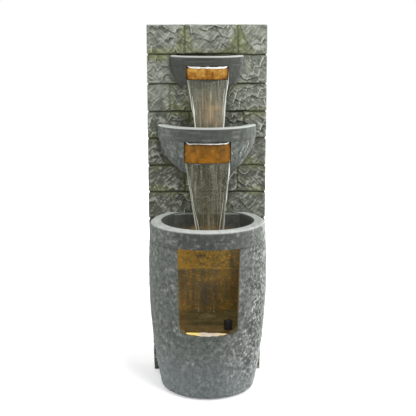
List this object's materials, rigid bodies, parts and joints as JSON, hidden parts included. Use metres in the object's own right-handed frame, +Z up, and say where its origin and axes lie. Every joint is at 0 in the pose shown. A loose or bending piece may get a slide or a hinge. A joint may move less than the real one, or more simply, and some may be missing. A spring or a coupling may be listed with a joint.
{
  "type": "three-tier fountain",
  "caption": "Free-standing wall fountain: stone-block board with two half bowls, lit amber spill lips and a barrel basin with a window, fed by a small pump inside.",
  "frame": {"origin": "on the floor, under the middle of the object's box", "axes": "+Z up, the front faces -Y, +X to the right seen from the front"},
  "size_m": [0.332, 0.3204, 1],
  "materials": {
    "block_stone": "rock-faced, weathered grey-green with moss in the joints",
    "cast_stone": "pitted cast stone, grey",
    "amber_lens": "translucent amber, lit from behind",
    "light_bar": "warm white diffuser",
    "lamp_glass": "clear",
    "black_plastic": "moulded, fine grain",
    "grey_panel": "moulded, fine grain",
    "dial_plastic": "moulded",
    "black_rubber": "matt",
    "vinyl_hose": "milky vinyl",
    "steel": "stainless",
    "magnet": "plain"
  },
  "bodies": {
    "fountain": {"stone_face": "block_stone", "upper_bowl": "cast_stone", "middle_bowl": "cast_stone", "basin": "cast_stone", "upper_spill_lip": "amber_lens", "middle_spill_lip": "amber_lens", "upper_led_bar": "light_bar", "middle_led_bar": "light_bar", "lamp_lens": "lamp_glass", "lamp_housing": "black_plastic", "pump_body": "black_plastic", "volute_cover": "black_plastic", "intake_grille": "black_plastic", "driver_box": "black_plastic", "driver_lid": "black_plastic", "cable_gland": "black_plastic", "gland_nut": "black_plastic", "basin_bulkhead": "black_plastic", "bulkhead_nut": "black_plastic", "upper_outlet": "black_plastic", "outlet_nut": "black_plastic", "rear_panel": "grey_panel", "lamp_sucker": "black_rubber", "pump_feet": "black_rubber", "foot_pads": "black_rubber", "lead_grommets": "black_rubber", "drain_plug": "black_rubber", "mount_washers": "black_rubber", "upper_light_lead": "black_rubber", "middle_light_lead": "black_rubber", "lamp_lead": "black_rubber", "pump_lead": "black_rubber", "shaft_bushes": "black_rubber", "riser_hose": "vinyl_hose", "pump_hose": "vinyl_hose", "mount_bolts": "steel", "mount_nuts": "steel", "panel_screws": "steel", "door_hinge_pins": "steel", "rotor_shaft": "steel", "door_magnet": "magnet"},
    "rotor": {"impeller": "dial_plastic", "rotor_magnet": "magnet"},
    "dial": {"flow_dial": "dial_plastic"},
    "door": {"access_door": "grey_panel", "door_strike": "steel", "door_pull": "dial_plastic"}
  },
  "joints": [
    {"name": "impeller_spin", "type": "hinge", "parent": "fountain", "child": "rotor", "pos_m": [0, 0.00519, 0.0595], "axis": [0, 1, 0], "continuous": true},
    {"name": "flow_dial_turn", "type": "hinge", "parent": "fountain", "child": "dial", "pos_m": [0, -0.02681, 0.0595], "axis": [0, 1, 0], "range_deg": [0, 90]},
    {"name": "access_door_swing", "type": "hinge", "parent": "fountain", "child": "door", "pos_m": [0.0856, 0.15719, 0.181], "axis": [0, 0, -1], "range_deg": [0, 110]}
  ]
}
